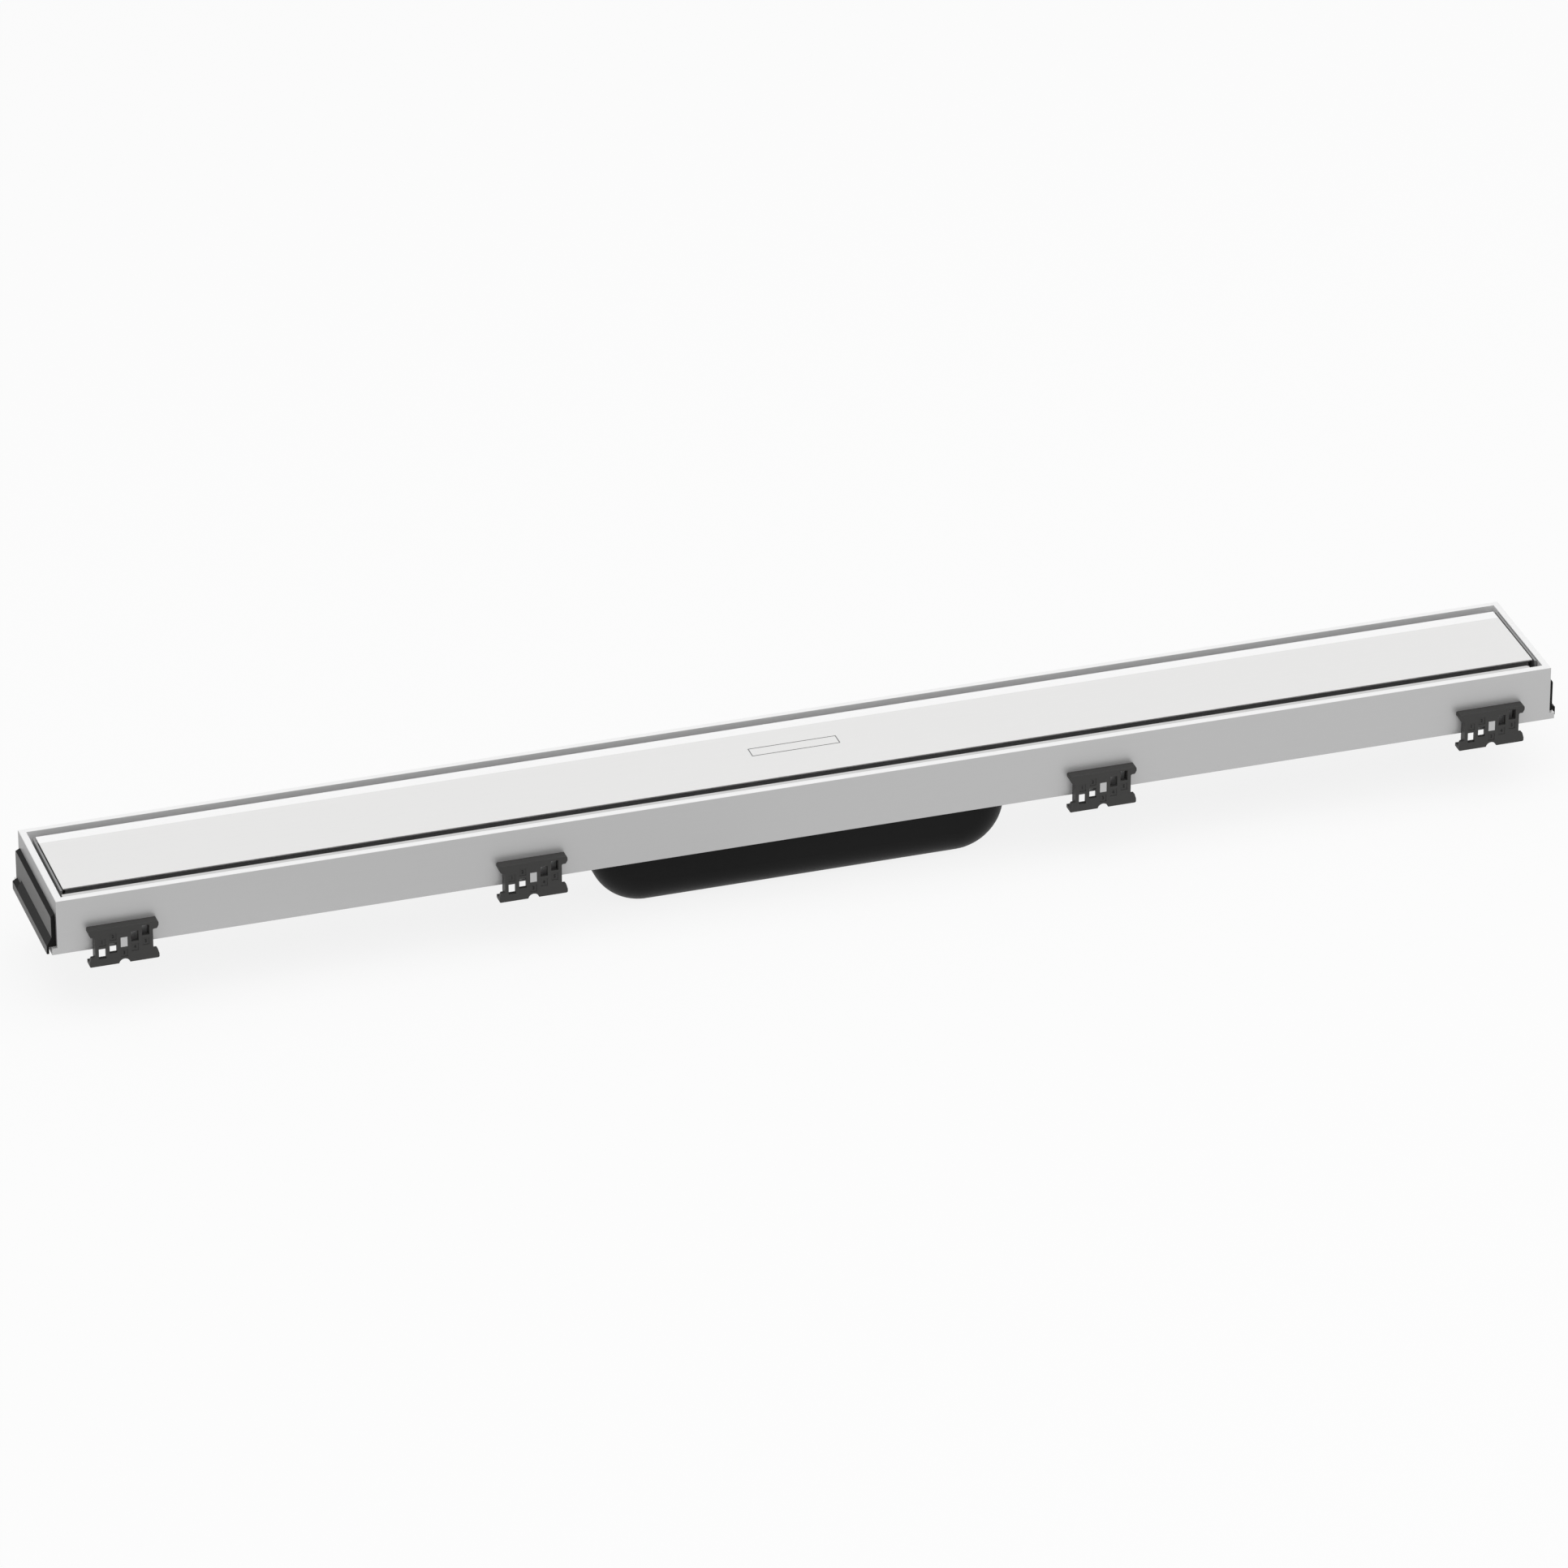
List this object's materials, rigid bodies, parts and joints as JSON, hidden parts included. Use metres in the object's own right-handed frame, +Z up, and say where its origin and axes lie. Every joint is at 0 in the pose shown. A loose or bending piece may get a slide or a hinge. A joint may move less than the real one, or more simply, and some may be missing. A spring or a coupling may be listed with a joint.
{
  "type": "channel drain",
  "caption": "Long slim floor drain: metal frame with a flush cover strip, stepped level clips on both sides, inner tray and a hanging trap bowl.",
  "frame": {"origin": "on the floor under the middle of the frame; the trap bowl's flat bottom stands there, its middle 2 mm to the left", "axes": "+X along the drain, +Y across it, +Z up through the cover strip"},
  "size_m": [0.5972, 0.0644, 0.049],
  "materials": {
    "frame_metal": "satin, light grey",
    "cover_steel": "fine brushed along the strip",
    "strip_steel": "satin",
    "end_strip_steel": "satin, mid grey",
    "sieve_steel": "satin",
    "tray_plastic": "moulded, matte black",
    "carrier_plastic": "moulded, matte black",
    "bowl_plastic": "moulded, fine grain, matte black",
    "clip_plastic": "moulded, dark grey",
    "rubber": "plain black rubber"
  },
  "bodies": {
    "root": {"frame": "frame_metal", "cover_plate": "cover_steel", "front_edge_strip": "strip_steel", "left_end_strip": "end_strip_steel", "right_end_strip": "end_strip_steel", "hair_sieve": "sieve_steel", "tray": "tray_plastic", "cover_carrier": "carrier_plastic", "dip_insert": "tray_plastic", "trap_bowl": "bowl_plastic", "tray_gasket": "rubber", "cover_pads": "rubber", "left_end_clip": "clip_plastic", "right_end_clip": "clip_plastic", "front_level_clip_1": "clip_plastic", "front_level_clip_2": "clip_plastic", "front_level_clip_3": "clip_plastic", "front_level_clip_4": "clip_plastic", "rear_level_clip_1": "clip_plastic", "rear_level_clip_2": "clip_plastic", "rear_level_clip_3": "clip_plastic", "rear_level_clip_4": "clip_plastic"}
  },
  "joints": []
}
